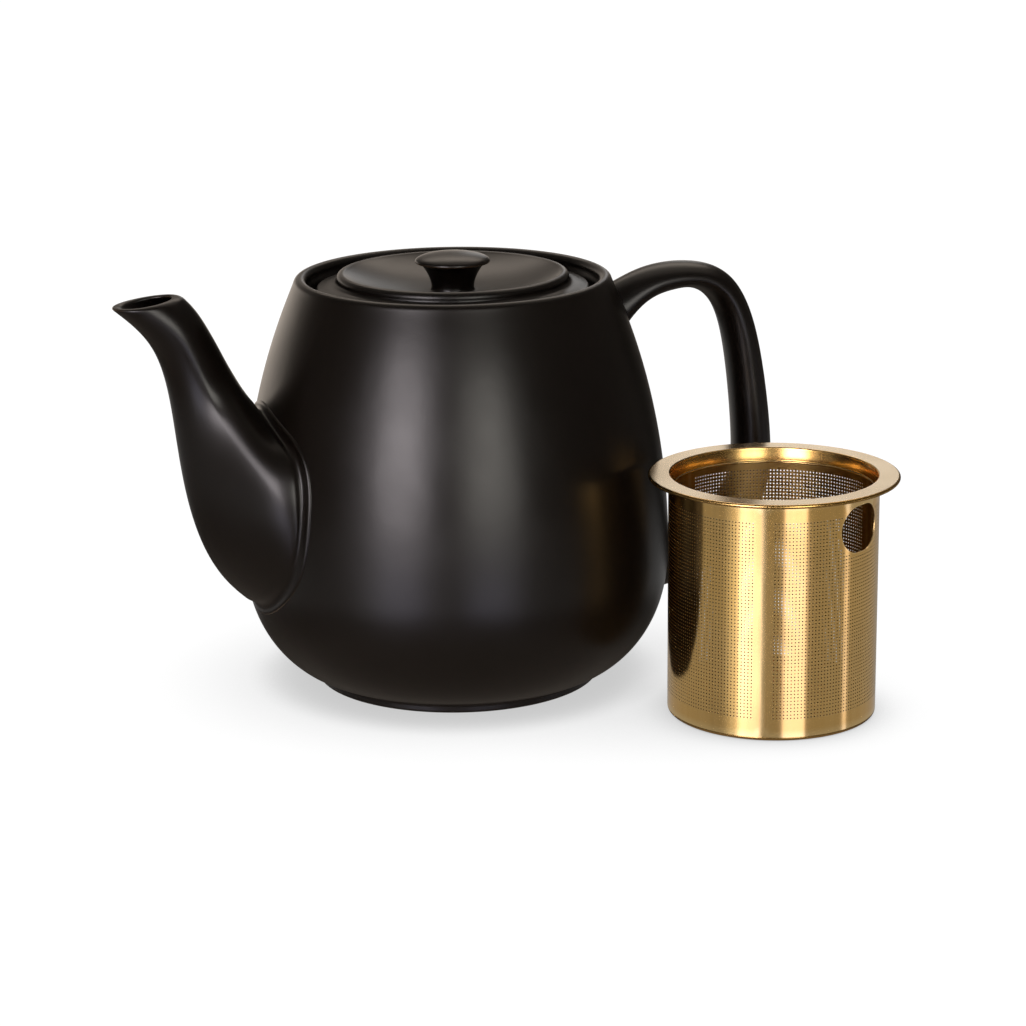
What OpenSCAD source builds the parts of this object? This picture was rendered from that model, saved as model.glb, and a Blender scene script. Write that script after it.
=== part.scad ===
// Teapot with its lid and a lift-out infuser basket standing beside it.
// The origin is the centre of the pot's foot on the table. The spout points along -X,
// the handle along +X and +Z is up.

/* [Pot body] */
// Height of the pot to the crest of its lip
pot_h = 120.7; // [117:0.1:125]
// Diameter at the widest part of the belly
belly_d = 126.4; // [124:0.2:130]
// Height of the widest part above the table
belly_z = 38.5; // [36:0.5:41]
// Diameter where the shoulder meets the lip
lip_d = 92.8; // [91:0.2:94]
// Thickness of the fired wall
wall = 4.2; // [3.6:0.1:4.6]
// Diameter of the foot ring
foot_d = 84.4; // [82:0.2:86]
// Height of the foot ring
foot_h = 3.2; // [2.6:0.1:3.8]

/* [Gallery] */
// Diameter of the recess that the lid drops into
recess_d = 83.6; // [82.4:0.2:84.4]
// Depth of the ledge below the crest of the lip
ledge_depth = 6.4; // [6:0.1:6.8]
// Diameter of the mouth inside the ledge
mouth_d = 66; // [64:0.5:69]

/* [Spout] */
// Distance from the pot's axis to the pouring edge
spout_reach = 100.2; // [98:0.2:103]
// Height of the pouring edge
spout_tip_z = 118.2; // [116:0.1:120]
// Width of the spout where it meets the body
spout_base_w = 60; // [56:0.5:62]
// Thickness of the spout's wall
spout_wall = 3; // [2.6:0.1:3.4]

/* [Handle] */
// Distance from the pot's axis to the middle of the grip
grip_reach = 94.4; // [90:0.2:98]
// Height of the middle of the handle's top
handle_top_z = 115.8; // [113:0.1:118]
// Height at which the handle comes back to the body
handle_foot_z = 25; // [22:0.5:30]
// Width of the handle across its flat
handle_w = 16; // [14:0.5:18]
// Thickness of the grip
handle_t = 10; // [9:0.2:11]

/* [Lid] */
// Diameter of the lid
lid_d = 80; // [79:0.2:81]
// Diameter of the raised ring at its crest
ring_d = 64.6; // [62:0.2:66]
// Height of the raised ring's crest
ring_z = 121.8; // [121.5:0.1:123]
// Height of the floor of the dish
dish_z = 116.4; // [115.8:0.1:117]
// Diameter of the knob's disc
knob_d = 21.9; // [20:0.1:24]
// Height of the top of the knob
knob_top_z = 127.4; // [127:0.1:129]
// Diameter of the skirt that locates the lid
skirt_d = 57; // [54:0.5:58]

/* [Infuser basket] */
// Outside diameter of the basket's wall
basket_d = 60; // [59:0.2:61]
// Height of the basket to the top of its flange
basket_h = 70.2; // [66:0.2:74]
// Diameter of the flange
flange_d = 71.6; // [70:0.2:75]
// Thickness of the sheet
sheet = 0.25; // [0.2:0.05:0.4]
// Width of the finger hole
finger_w = 16.8; // [15:0.2:20]
// Height of the finger hole
finger_h = 13.4; // [11:0.2:14.6]
// Depth of the finger hole's centre below the flange
finger_drop = 11.2; // [10:0.1:13]
// Direction that the finger hole faces, round from +X
finger_turn = -57.6; // [-180:0.1:180]
// Place of the basket's axis on the table along X
basket_x = 74.7; // [60:0.1:120]
// Place of the basket's axis on the table along Y
basket_y = -65.3; // [-120:0.1:-64]

/* [Hidden] */

$fn = 96;

belly_r = belly_d / 2;
lip_r = lip_d / 2;
lip_round = 1.9;
side_slope = 0.35;
side_angle = atan(side_slope);
side_top_z = pot_h - lip_round * (1 - sin(side_angle));
lip_centre = [lip_r, side_top_z] - lip_round * [cos(side_angle), sin(side_angle)];
foot_r = foot_d / 2;
foot_ring = 5;
foot_round = 0.8;
under_foot = 2.4;
floor_z = foot_h + 3.2;
recess_r = recess_d / 2;
ledge_z = pot_h - ledge_depth;
ledge_t = 4.5;
mouth_r = mouth_d / 2;
// The inside follows the outside up to this share of the shoulder's curve
shoulder_share = 0.6;

// Gap left between pieces that only rest on or sit in each other
rest_gap = 0.05;
// Gap of slip between the body and the pieces that are stuck to it
slip = 0.12;
gold = [0.83, 0.66, 0.33];
glaze = [0.1, 0.095, 0.09];
drain_d = 7;
drain_pitch = 10.5;
drain_z = 60;

basket_at = [basket_x, basket_y];
collar_gap = 0.05;
collar_h = 4.2;
base_round = 1.15;

// Point and direction of a cubic curve at t
function bez(p, t) = pow(1 - t, 3) * p[0] + 3 * pow(1 - t, 2) * t * p[1]
    + 3 * (1 - t) * t * t * p[2] + pow(t, 3) * p[3];
function bez_dir(p, t) = 3 * pow(1 - t, 2) * (p[1] - p[0])
    + 6 * (1 - t) * t * (p[2] - p[1]) + 3 * t * t * (p[3] - p[2]);
function curve(p, n, from = 0, to = 1) =
    [for (i = [0 : n]) bez(p, from + (to - from) * i / n)];
// The same curve moved d to its left
function curve_left(p, d, n, from = 0, to = 1) =
    [for (i = [0 : n]) let (t = from + (to - from) * i / n, v = bez_dir(p, t))
        bez(p, t) + d * [-v[1], v[0]] / norm(v)];
function arc(c, r, a0, a1, n) =
    [for (i = [0 : n]) let (a = a0 + (a1 - a0) * i / n) c + r * [cos(a), sin(a)]];
function reverse(list) = [for (i = [len(list) - 1 : -1 : 0]) list[i]];

// Control points of the outside of the body, as radius and height
lower_side = [[foot_r + 1.8, foot_h], [foot_r + 6, foot_h + 1],
              [belly_r, belly_z - 25], [belly_r, belly_z]];
upper_side = [[belly_r, belly_z], [belly_r, belly_z + 46],
              [lip_r + side_slope * 6, side_top_z - 6], [lip_r, side_top_z]];

// Solid of revolution through the body's outside, made bigger by grow
module body_blank(grow) {
    rotate_extrude()
        polygon(concat(
            [[0, foot_h - grow]],
            curve_left(lower_side, -grow, 12),
            curve_left(upper_side, -grow, 16),
            [[0, side_top_z]]));
}

module body_profile() {
    ring_in = foot_r - foot_ring;
    polygon(concat(
        [[0, under_foot], [ring_in - 1.5, under_foot]],
        arc([ring_in + foot_round, foot_round], foot_round, 180, 270, 4),
        arc([foot_r - foot_round, foot_round], foot_round, 270, 360, 4),
        [[foot_r, foot_h - 0.3]],
        curve(lower_side, 14),
        curve(upper_side, 20, 1 / 20),
        arc(lip_centre, lip_round, side_angle, 200, 10),
        [[recess_r, side_top_z - 3.4], [recess_r, ledge_z], [mouth_r + 0.8, ledge_z]],
        [[mouth_r, ledge_z - 0.8], [mouth_r, ledge_z - ledge_t]],
        reverse(curve_left(upper_side, wall, 12, 0, shoulder_share)),
        reverse(curve_left(lower_side, wall, 12)),
        [[foot_r - 6, floor_z], [0, floor_z]]));
}

// Seven holes through the wall behind the spout, to hold back stray leaves
module drains() {
    places = [[0, 0], for (i = [0 : 5]) drain_pitch * [cos(60 * i), sin(60 * i)]];
    for (at = places)
        translate([-belly_r, at[0], drain_z + at[1]])
            rotate([0, 90, 0])
                cylinder(d = drain_d, h = 4 * wall, center = true, $fn = 32);
}

module pot_body() {
    color(glaze)
        difference() {
            rotate_extrude()
                body_profile();
            drains();
        }
}

// Closed tube through rings of the same number of points
module loft(rings) {
    m = len(rings[0]);
    n = len(rings);
    sides = [for (i = [0 : n - 2], j = [0 : m - 1]) let (k = (j + 1) % m)
        each [[i * m + j, i * m + k, (i + 1) * m + k], [i * m + j, (i + 1) * m + k, (i + 1) * m + j]]];
    first = [[for (j = [m - 1 : -1 : 0]) j]];
    last = [[for (j = [0 : m - 1]) (n - 1) * m + j]];
    polyhedron(points = [for (r = rings) each r], faces = concat(first, sides, last));
}

// Oval ring between two points of the X-Z plane, half_w to each side of it.
// It is an ellipse where square is 2, leaner below that and squarer above it. rise lifts
// the widest part towards a, as a share of the half height.
function rounded(v, square) = sign(v) * pow(abs(v), 2 / square);
function oval(a, b, half_w, m, square = 2, rise = 0) = [for (j = [0 : m - 1])
    let (t = 360 * j / m, s = rounded(sin(t), square), c = rounded(cos(t), square) + rise * s * s,
        p = (a + b) / 2 + c * (a - b) / 2)
    [p[0], half_w * s, p[1]]];

// Smooth line through a list of points, with u running from 0 to 1
function through(p, u) =
    let (last = len(p) - 1, x = u * last, i = min(floor(x), last - 1), t = x - i,
        p1 = p[i], p2 = p[i + 1],
        p0 = i > 0 ? p[i - 1] : 2 * p1 - p2,
        p3 = i < last - 1 ? p[i + 2] : 2 * p2 - p1)
    (2 * p1 + t * (p2 - p0) + t * t * (2 * p0 - 5 * p1 + 4 * p2 - p3)
        + t * t * t * (3 * p1 - p0 - 3 * p2 + p3)) / 2;

// Outlines of the spout in its middle plane, as reach and height, from root to mouth
spout_upper = [[44, 95.6], [55.9, 84.4], [65.8, 95.1], [70.7, 104.8], [75.8, 114.2],
    [spout_reach - 20, spout_tip_z + 1.4]];
spout_lower = [[50, 18.9], [70.7, 35], [80.9, 59.8], [84.6, 86.1], [89.7, 105.5],
    [spout_reach, spout_tip_z]];
// Half of the spout's width at the same places, the squareness of its section there, and
// how far the widest part sits above the middle
spout_half = [[spout_base_w / 2 + 1.2], [spout_base_w / 2 - 2], [16], [10.5], [9.8], [8]];
spout_square = [[2.8], [1.8], [1.7], [1.7], [1.9], [2]];
spout_rise = [[-0.25], [0.3], [0.25], [0.1], [0], [0]];

// Ring of the spout at u, with its wall taken off by inset
function spout_ring(u, inset) =
    let (a = through(spout_upper, u), b = through(spout_lower, u),
        cut = inset * (a - b) / norm(a - b), half_w = through(spout_half, u)[0])
    oval(a - cut, b + cut, half_w - inset, 40, through(spout_square, u)[0],
        through(spout_rise, u)[0]);

function raised(ring, dz) = [for (p = ring) p + [0, 0, dz]];

module spout() {
    steps = 22;
    mouth_wall = 1.8;
    outside = [for (i = [0 : steps]) spout_ring(i / steps, 0)];
    inside = [for (i = [0 : steps]) let (u = i / steps)
        spout_ring(u, spout_wall + (mouth_wall - spout_wall) * u)];
    color(glaze)
        mirror([1, 0, 0])
            difference() {
                loft(outside);
                loft(concat(inside, [raised(inside[steps], 2)]));
                body_blank(slip);
            }
}

// Outlines of the handle in its middle plane, as reach and height, from the top down
grip_out = grip_reach + handle_t / 2;
grip_in = grip_reach - handle_t / 2;
handle_outer = [[46, handle_top_z - 2.7], [60, handle_top_z + 3], [74, handle_top_z + 4],
    [grip_out - 15.4, handle_top_z + 0.9], [grip_out - 8.7, handle_top_z - 6.8],
    [grip_out - 3.2, 92], [grip_out + 0.6, 64], [grip_out - 1.4, 46],
    [grip_out - 9.9, handle_foot_z + 6.5], [75, handle_foot_z - 2.5], [54, handle_foot_z - 7]];
handle_inner = [[46, handle_top_z - 24], [56.7, handle_top_z - 9], [66.5, handle_top_z - 4.2],
    [73.5, handle_top_z - 3.8], [grip_in - 8.8, handle_top_z - 8.3],
    [grip_in - 3.6, 92], [grip_in - 0.8, 64], [grip_in - 2.6, 51],
    [grip_in - 8.9, handle_foot_z + 16.5], [71, handle_foot_z + 10.5], [54, handle_foot_z + 9]];

module handle() {
    steps = 40;
    color(glaze)
        difference() {
            loft([for (i = [0 : steps]) let (u = i / steps)
                oval(through(handle_outer, u), through(handle_inner, u), handle_w / 2, 32)]);
            body_blank(slip);
        }
}

lid_r = lid_d / 2;
lid_edge_z = ledge_z + 3.4;
ring_r = ring_d / 2;
ring_round = 1.2;
skirt_r = skirt_d / 2;
skirt_t = 3;
skirt_depth = 8;
boss_r = 7.4;
boss_gap = 0.05;

// Lid: a flat rim, a raised ring, a hollow dish in the middle and a skirt below
module lid_plate() {
    under_z = ledge_z + rest_gap;
    dish = [[boss_r, dish_z], [15, dish_z + 0.2], [25, dish_z + 2.2],
        [ring_r - 1.7, ring_z - 0.2]];
    color(glaze)
        rotate_extrude()
            polygon(concat(
                [[0, dish_z]],
                curve(dish, 12),
                arc([ring_r, ring_z - ring_round], ring_round, 110, -8, 6),
                [[ring_r + 1.5, lid_edge_z + 1.8], [ring_r + 2.2, lid_edge_z + 1],
                 [ring_r + 4, lid_edge_z + 0.6]],
                arc([lid_r - 0.9, lid_edge_z - 0.9], 0.9, 80, 0, 4),
                arc([lid_r - 0.6, under_z + 0.6], 0.6, 0, -90, 3),
                [[skirt_r, under_z]],
                arc([skirt_r - 0.8, under_z - skirt_depth + 0.8], 0.8, 0, -90, 3),
                arc([skirt_r - skirt_t + 0.8, under_z - skirt_depth + 0.8], 0.8, -90, -180, 3),
                [[skirt_r - skirt_t, dish_z - 1.6], [skirt_r - skirt_t - 3, dish_z - 3.6],
                 [0, dish_z - 3.6]]));
}

// Knob: a flared stem under a domed disc
module lid_knob() {
    knob_r = knob_d / 2;
    disc_z = knob_top_z - 2.6;
    stem = [[6.2, dish_z + boss_gap], [6.2, dish_z + 3], [7.2, disc_z - 3], [9, disc_z - 0.6]];
    dome = [[knob_r, disc_z], [knob_r, disc_z + 1.4], [6, knob_top_z], [0, knob_top_z]];
    color(glaze)
        rotate_extrude()
            polygon(concat(
                [[0, dish_z + boss_gap]],
                curve(stem, 10),
                arc([knob_r - 0.4, disc_z], 0.4, -80, 0, 4),
                curve(dome, 10, 0.1)));
}

basket_r = basket_d / 2;
flange_r = flange_d / 2;
flange_t = 1.2;
inner_r = basket_r - sheet - collar_gap;
wall_top_z = basket_h - flange_t;

// Pressed ring on top of the basket: a flat flange and a short collar inside the wall
module infuser_rim() {
    edge = flange_t / 2;
    bead = 0.3;
    corner = 1;
    color(gold)
        translate(basket_at)
            rotate_extrude()
                polygon(concat(
                    [[inner_r - sheet, basket_h - collar_h]],
                    arc([inner_r - bead, basket_h - collar_h], bead, 180, 360, 6),
                    [[inner_r, wall_top_z + rest_gap]],
                    arc([flange_r - edge, wall_top_z + rest_gap + edge], edge, -90, 90, 8),
                    arc([inner_r - sheet + corner, basket_h + rest_gap - corner], corner, 90, 180, 5)));
}

// Slot with round ends, as long as w along Y
module slot(h, w) {
    for (side = [-1, 1])
        translate([0, side * (w - h) / 2])
            circle(d = h, $fn = 48);
    square([h, w - h], center = true);
}

// Rolled sheet tube, plain here; its fine perforation is too small to be modelled as solids
module infuser_wall() {
    color(gold)
        translate(basket_at)
            difference() {
                translate([0, 0, base_round + rest_gap])
                    cylinder(r = basket_r, h = wall_top_z - base_round - rest_gap);
                translate([0, 0, -1])
                    cylinder(r = basket_r - sheet, h = basket_h + 2);
                rotate([0, 0, finger_turn])
                    translate([basket_r, 0, basket_h - finger_drop])
                        rotate([0, 90, 0])
                            linear_extrude(basket_r, center = true)
                                slot(finger_h, finger_w);
            }
}

// Pressed bottom with a rounded corner and an upstand inside the wall
module infuser_base() {
    upstand = 4;
    color(gold)
        translate(basket_at)
            rotate_extrude()
                polygon(concat(
                    [[0, 0]],
                    arc([basket_r - base_round, base_round], base_round, 270, 360, 6),
                    [[inner_r, base_round], [inner_r, upstand], [inner_r - sheet, upstand]],
                    arc([inner_r - sheet - 0.8, sheet + 0.8], 0.8, 0, -90, 4),
                    [[0, sheet]]));
}

pot_body();
spout();
handle();
lid_plate();
lid_knob();
infuser_rim();
infuser_wall();
infuser_base();
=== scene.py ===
"""Looks for a matte black teapot, its lid and its gold infuser basket.

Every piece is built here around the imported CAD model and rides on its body. The outlines
are in millimetres, as in the CAD source, and their driving sizes are read from the frame.
"""

import math

import bmesh
import bpy
import numpy as np
from mathutils import Matrix, Vector
from mathutils.geometry import delaunay_2d_cdt


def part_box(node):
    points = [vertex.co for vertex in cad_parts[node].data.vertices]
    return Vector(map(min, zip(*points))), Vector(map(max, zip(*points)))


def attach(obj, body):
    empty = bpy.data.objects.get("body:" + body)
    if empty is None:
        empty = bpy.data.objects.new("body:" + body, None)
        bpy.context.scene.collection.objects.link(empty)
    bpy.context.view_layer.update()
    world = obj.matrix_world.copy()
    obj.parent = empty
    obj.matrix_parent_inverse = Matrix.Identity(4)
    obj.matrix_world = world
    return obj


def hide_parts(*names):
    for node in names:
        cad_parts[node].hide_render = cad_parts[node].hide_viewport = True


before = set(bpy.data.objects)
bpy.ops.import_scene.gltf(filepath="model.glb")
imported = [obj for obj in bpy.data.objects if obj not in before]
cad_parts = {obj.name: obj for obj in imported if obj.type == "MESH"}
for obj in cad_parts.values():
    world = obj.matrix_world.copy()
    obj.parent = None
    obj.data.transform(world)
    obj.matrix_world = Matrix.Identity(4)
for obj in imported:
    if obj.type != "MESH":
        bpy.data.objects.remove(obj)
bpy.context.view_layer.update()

MM = 0.001
TURNS = 192          # steps round a turned piece
REST = 0.15          # mm from the end of a straight stretch to its extra point
WELD = 2e-7          # points closer than this, in metres, are one
SHARPEST = 3.0       # bulge of the sharpest edges worth telling apart, in 1/mm


def cad_size(node):
    """Lowest and highest corner of a CAD node in millimetres."""
    low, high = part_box(node)
    return np.array(low) / MM, np.array(high) / MM


# ---------------------------------------------------------------- curves


def bezier(points, steps, start=0.0, end=1.0):
    """Points along a cubic curve, from share start to share end of it."""
    p = np.array(points, float)
    t = np.linspace(start, end, steps + 1)[:, None]
    s = 1 - t
    return s**3 * p[0] + 3 * s * s * t * p[1] + 3 * s * t * t * p[2] + t**3 * p[3]


def arc(centre, radius, start, end, steps):
    """Points of a circle's arc, with its angles in degrees."""
    a = np.radians(np.linspace(start, end, steps + 1))[:, None]
    return np.array(centre, float) + radius * np.hstack([np.cos(a), np.sin(a)])


def line(a, b):
    """A straight stretch with a point close to each end, so that its shading stays flat."""
    a, b = np.array(a, float), np.array(b, float)
    step = (b - a) * REST / np.linalg.norm(b - a)
    return np.array([a, a + step, b - step, b])


def moved_left(points, distance):
    """The same outline moved sideways, to the left of its direction."""
    d = np.gradient(points, axis=0)
    d /= np.linalg.norm(d, axis=1)[:, None]
    return points + distance * np.stack([-d[:, 1], d[:, 0]], 1)


def spline(points, u):
    """Smooth curve through points evenly spaced in u from 0 to 1 (natural cubic spline)."""
    p = np.array(points, float).reshape(len(points), -1)
    last = len(p) - 1
    bend = np.zeros_like(p)
    system = np.eye(last - 1) * 4 + np.eye(last - 1, k=1) + np.eye(last - 1, k=-1)
    bend[1:-1] = np.linalg.solve(system, 6 * (p[:-2] - 2 * p[1:-1] + p[2:]))
    x = np.clip(np.atleast_1d(u), 0, 1) * last
    i = np.minimum(x.astype(int), last - 1)
    t = (x - i)[:, None]
    s = 1 - t
    return (s * p[i] + t * p[i + 1]
            + ((s**3 - s) * bend[i] + (t**3 - t) * bend[i + 1]) / 6)


# ---------------------------------------------------------------- meshes


def read(items, name, width):
    """One vector attribute of all the items of a mesh, as rows of an array."""
    values = np.empty(len(items) * width)
    items.foreach_get(name, values)
    return values.reshape(-1, width)


def edge_mask(mesh):
    """Stores in "edge" how sharply the surface bulges at each vertex, in 1/mm."""
    co = read(mesh.vertices, "co", 3) / MM
    normal = read(mesh.vertices, "normal", 3)
    ends = np.empty(len(mesh.edges) * 2, int)
    mesh.edges.foreach_get("vertices", ends)
    a, b = ends.reshape(-1, 2).T
    d = co[a] - co[b]
    length2 = np.maximum((d * d).sum(1), 1e-4)
    bulge = np.zeros(len(co))
    np.maximum.at(bulge, a, 2 * (d * normal[a]).sum(1) / length2)
    np.maximum.at(bulge, b, -2 * (d * normal[b]).sum(1) / length2)
    layer = mesh.attributes.new("edge", "FLOAT", "POINT")
    layer.data.foreach_set("value", np.clip(bulge, 0, SHARPEST).astype(np.float32))


def make_piece(name, points, faces, materials, body, nodes):
    """One piece from points in millimetres, riding on its body in place of CAD nodes."""
    mesh = bpy.data.meshes.new(name)
    mesh.from_pydata((np.asarray(points) * MM).tolist(), [], faces)
    bm = bmesh.new()
    bm.from_mesh(mesh)
    bmesh.ops.remove_doubles(bm, verts=bm.verts, dist=WELD)
    loose = [vertex for vertex in bm.verts if not vertex.link_faces]
    bmesh.ops.delete(bm, geom=loose, context="VERTS")
    bmesh.ops.recalc_face_normals(bm, faces=bm.faces)
    bm.to_mesh(mesh)
    bm.free()
    mesh.shade_smooth()
    for material in materials:
        mesh.materials.append(material)
    edge_mask(mesh)
    piece = bpy.data.objects.new(name, mesh)
    bpy.context.scene.collection.objects.link(piece)
    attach(piece, body)
    for node in nodes:
        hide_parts(node)
    return piece


def grid_faces(rows, columns, close_rows=False):
    """Quads of a grid whose columns run round in a closed ring."""
    faces = []
    for i in range(rows if close_rows else rows - 1):
        a, b = i * columns, (i + 1) % rows * columns
        faces += [(a + j, a + (j + 1) % columns, b + (j + 1) % columns, b + j)
                  for j in range(columns)]
    return faces


def turned(profile, centre=(0.0, 0.0), closed=False):
    """Points and faces of a profile of radius and height, turned about an axis."""
    a = np.arange(TURNS) * 2 * math.pi / TURNS
    x = centre[0] + profile[:, :1] * np.cos(a)
    y = centre[1] + profile[:, :1] * np.sin(a)
    z = np.repeat(profile[:, 1:], TURNS, axis=1)
    return np.stack([x, y, z], 2).reshape(-1, 3), grid_faces(len(profile), TURNS, closed)


# ---------------------------------------------------------------- materials


class Nodes:
    """Small helper that fills in a node tree."""

    def __init__(self, tree):
        self.tree = tree

    def add(self, kind, **values):
        node = self.tree.nodes.new(kind)
        for key, value in values.items():
            if key in node.inputs:
                self.put(value, node.inputs[key])
            else:
                setattr(node, key, value)
        return node

    def put(self, value, socket):
        if isinstance(value, bpy.types.NodeSocket):
            self.tree.links.new(value, socket)
        else:
            socket.default_value = value

    def fill(self, node, values):
        """Puts the values in the node's first inputs."""
        for socket, value in zip(node.inputs, values):
            self.put(value, socket)
        return node.outputs[0]

    def math(self, operation, *values):
        return self.fill(self.add("ShaderNodeMath", operation=operation), values)

    def ramp(self, value, low, high, out_low=0.0, out_high=1.0):
        """value from low..high to out_low..out_high, smoothed and clamped."""
        node = self.add("ShaderNodeMapRange", interpolation_type="SMOOTHSTEP")
        return self.fill(node, (value, low, high, out_low, out_high))

    def mix(self, share, a, b):
        """Colour a, or b as far as share says."""
        node = self.add("ShaderNodeMix", data_type="RGBA")
        self.put(share, node.inputs[0])
        self.put(a, node.inputs[6])
        self.put(b, node.inputs[7])
        return node.outputs[2]


class MaterialNodes(Nodes):
    """The node tree of a new material."""

    def __init__(self, name):
        self.material = bpy.data.materials.new(name)
        self.material.use_nodes = True
        super().__init__(self.material.node_tree)
        self.shader = self.tree.nodes["Principled BSDF"]
        self.place = self.add("ShaderNodeTexCoord").outputs["Object"]

    def noise(self, scale, detail=3.0, place=None):
        """Noise with features of about 1/scale metres, from 0 to 1."""
        node = self.add("ShaderNodeTexNoise", Scale=scale, Detail=detail)
        self.put(place or self.place, node.inputs["Vector"])
        return node.outputs["Fac"]

    def bump(self, height, depth, after=None):
        """A bump of the given depth in metres."""
        node = self.add("ShaderNodeBump", Strength=1.0, Distance=depth, Height=height)
        if after:
            self.put(after, node.inputs["Normal"])
        return node.outputs["Normal"]

    def edges(self, low, high):
        """Mask of the edges that bulge more than low, full at high (in 1/mm)."""
        node = self.add("ShaderNodeAttribute", attribute_name="edge")
        return self.ramp(node.outputs["Fac"], low, high)

    def set(self, **values):
        for key, value in values.items():
            self.put(value, self.shader.inputs[key.replace("_", " ")])


def rgb(r, g, b):
    return (r, g, b, 1.0)


def black_glaze():
    """Matte black glaze, thinner and browner where it ran off the edges."""
    m = MaterialNodes("black_glaze")
    cloud = m.noise(28, 2)
    speck = m.ramp(m.noise(1400, 1), 0.72, 0.8)
    colour = m.mix(cloud, rgb(0.0024, 0.0012, 0.0006), rgb(0.0042, 0.0024, 0.0014))
    colour = m.mix(m.math("MULTIPLY", speck, 0.35), colour, rgb(0.016, 0.012, 0.009))
    thin = m.math("MULTIPLY", m.edges(1.5, 2.3), m.ramp(m.noise(160), 0.3, 0.6, 0.35, 0.9))
    colour = m.mix(thin, colour, rgb(0.045, 0.026, 0.014))
    satin = m.ramp(m.noise(60, 4), 0.3, 0.7, 0.30, 0.34)
    rough = m.math("SUBTRACT", satin, m.math("MULTIPLY", thin, 0.10))
    grain = m.bump(m.noise(1500, 2), 0.000012)
    m.set(Base_Color=colour, Roughness=rough, Normal=m.bump(m.noise(90, 2), 0.00006, grain))
    return m.material


def bare_clay():
    """Unglazed dark stoneware under the foot."""
    m = MaterialNodes("bare_clay")
    grain = m.noise(1800, 4)
    m.set(Base_Color=m.mix(grain, rgb(0.030, 0.026, 0.023), rgb(0.075, 0.065, 0.056)),
          Roughness=m.ramp(grain, 0.3, 0.7, 0.75, 0.95), Normal=m.bump(grain, 0.00008))
    return m.material


def gold_steel(name, roughness, depth=1.0, painted_top_highlight=0.0):
    """Polished steel with a gold coating, lightly streaked by rolling.

    depth below 1 darkens the coating as painted shade, for the basket's inside;
    painted_top_highlight pales it where it faces straight up, a painted highlight on the
    flange.
    """
    m = MaterialNodes(name)
    split = m.add("ShaderNodeSeparateXYZ", Vector=m.place)
    flat = m.add("ShaderNodeCombineXYZ", X=split.outputs["X"], Y=split.outputs["Y"],
                 Z=m.math("MULTIPLY", split.outputs["Z"], 0.02))
    streak = m.noise(700, 3, flat.outputs[0])
    smudge = m.noise(45, 4)
    tint = m.ramp(m.noise(24, 1), 0.35, 0.65)
    colour = m.mix(tint, rgb(0.88, 0.54, 0.17), rgb(0.84, 0.54, 0.20))
    colour = m.mix(m.ramp(streak, 0.3, 0.7, 0.0, 0.35), colour, rgb(0.76, 0.45, 0.13))
    colour = m.mix(m.edges(1.5, 3.0), colour, rgb(0.95, 0.66, 0.28))
    # Painted highlight: a paler colour where the surface faces straight up
    if painted_top_highlight:
        facing = m.add("ShaderNodeSeparateXYZ",
                       Vector=m.add("ShaderNodeNewGeometry").outputs["Normal"])
        top = m.ramp(facing.outputs["Z"], 0.93, 0.99, 0.0, painted_top_highlight)
        colour = m.mix(top, colour, rgb(0.88, 0.68, 0.42))
    # Painted shade: depth below 1 darkens the whole coating
    colour = m.mix(depth, rgb(0.0, 0.0, 0.0), colour)
    rough = m.ramp(smudge, 0.35, 0.7, roughness, roughness + 0.05)
    m.set(Base_Color=colour, Metallic=1.0, Roughness=rough)
    m.set(Normal=m.bump(streak, 0.000001 if painted_top_highlight else 0.000004))
    return m.material


GLAZE = black_glaze()
CLAY = bare_clay()
GOLD = gold_steel("gold_steel", 0.12)
# The flange's top gets a painted highlight, paler where it faces up
GOLD_FLANGE = gold_steel("gold_steel_flange", 0.22, painted_top_highlight=1.0)
# The inside is a darker copy, painted shade for the inside of the basket
GOLD_INSIDE_SHADED = gold_steel("gold_steel_inside_shaded", 0.29, 0.75)

# ---------------------------------------------------------------- pot body

pot_high = cad_size("pot_body")[1]
POT_H = pot_high[2]
BELLY_R = pot_high[0]
BELLY_Z = 38.5
LIP_R = 46.4
LIP_ROUND = 1.9
SIDE_SLOPE = 0.35
FOOT_R = 42.2
FOOT_H = 3.2
FOOT_RING = 5.0
FOOT_ROUND = 0.8
FOOT_COVE = 1.6       # hollow between the foot ring and the bottom
UNDER_FOOT = 2.4
BARE_Z = 0.25         # up to here the foot ring is left unglazed
FLOOR_Z = 6.4
WALL = 4.2
RECESS_R = 41.8
RECESS_ROUND = 0.6
LEDGE_Z = POT_H - 6.4
LEDGE_T = 4.5
LEDGE_ROUND = 0.8
MOUTH_R = 33.0
SHOULDER_SHARE = 0.6  # of the upper side, up to the underside of the ledge
DRAIN_PITCH, DRAIN_R, DRAIN_Z = 10.5, 3.5, 60.0

side_angle = math.atan(SIDE_SLOPE)
side_top_z = POT_H - LIP_ROUND * (1 - math.sin(side_angle))
lower_side = [(FOOT_R + 1.8, FOOT_H), (FOOT_R + 6, FOOT_H + 1),
              (BELLY_R, BELLY_Z - 25), (BELLY_R, BELLY_Z)]
upper_side = [(BELLY_R, BELLY_Z), (BELLY_R, BELLY_Z + 46),
              (LIP_R + SIDE_SLOPE * 6, side_top_z - 6), (LIP_R, side_top_z)]
side_curve = np.vstack([bezier(lower_side, 60), bezier(upper_side, 80)[1:]])


def body_radius(z):
    """Outside radius of the pot at height z."""
    return np.interp(z, side_curve[:, 1], side_curve[:, 0])


def body_slope(z):
    """How much that radius grows for each millimetre up."""
    return body_radius(z + 0.5) - body_radius(z - 0.5)


def body_gap(p):
    """Distance of points from the pot's outside, negative inside it."""
    return ((np.hypot(p[..., 0], p[..., 1]) - body_radius(p[..., 2]))
            / np.sqrt(1 + body_slope(p[..., 2]) ** 2))


def body_normal(p):
    """Direction straight out of the pot's outside at a point."""
    r = math.hypot(p[0], p[1])
    n = np.array([p[0] / r, p[1] / r, -body_slope(p[2])])
    return n / np.linalg.norm(n)


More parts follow.
